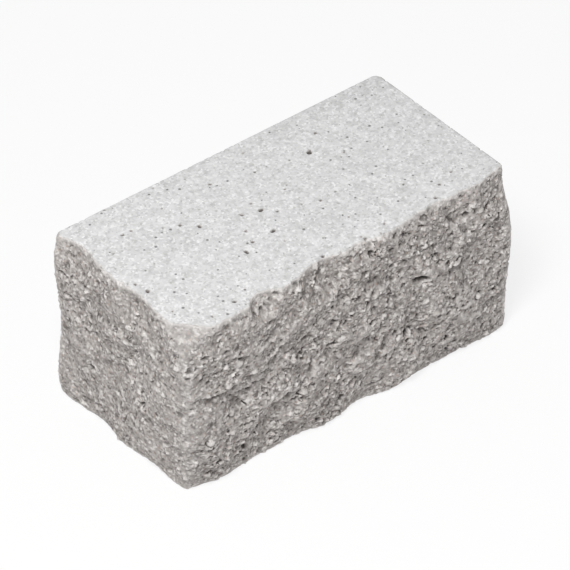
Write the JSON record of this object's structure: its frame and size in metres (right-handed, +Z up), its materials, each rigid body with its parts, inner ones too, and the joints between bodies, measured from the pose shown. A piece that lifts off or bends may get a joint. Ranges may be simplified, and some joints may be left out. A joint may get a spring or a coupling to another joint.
{
  "type": "split face walling block",
  "caption": "Solid pressed concrete corner block with a rough split long face and split end, and smooth moulded bed, top, back and butt end for laying in a wall.",
  "frame": {"origin": "middle of the block's box, on the bed face", "axes": "+Z up from the bed, +X along the block from the split end to the moulded butt end, +Y from the split long face to the moulded back"},
  "size_m": [0.2052, 0.1064, 0.1],
  "materials": {
    "concrete": "matt grey pressed concrete, rough where split, with fine pores where moulded"
  },
  "bodies": {
    "root": {"block": "concrete"}
  },
  "joints": []
}
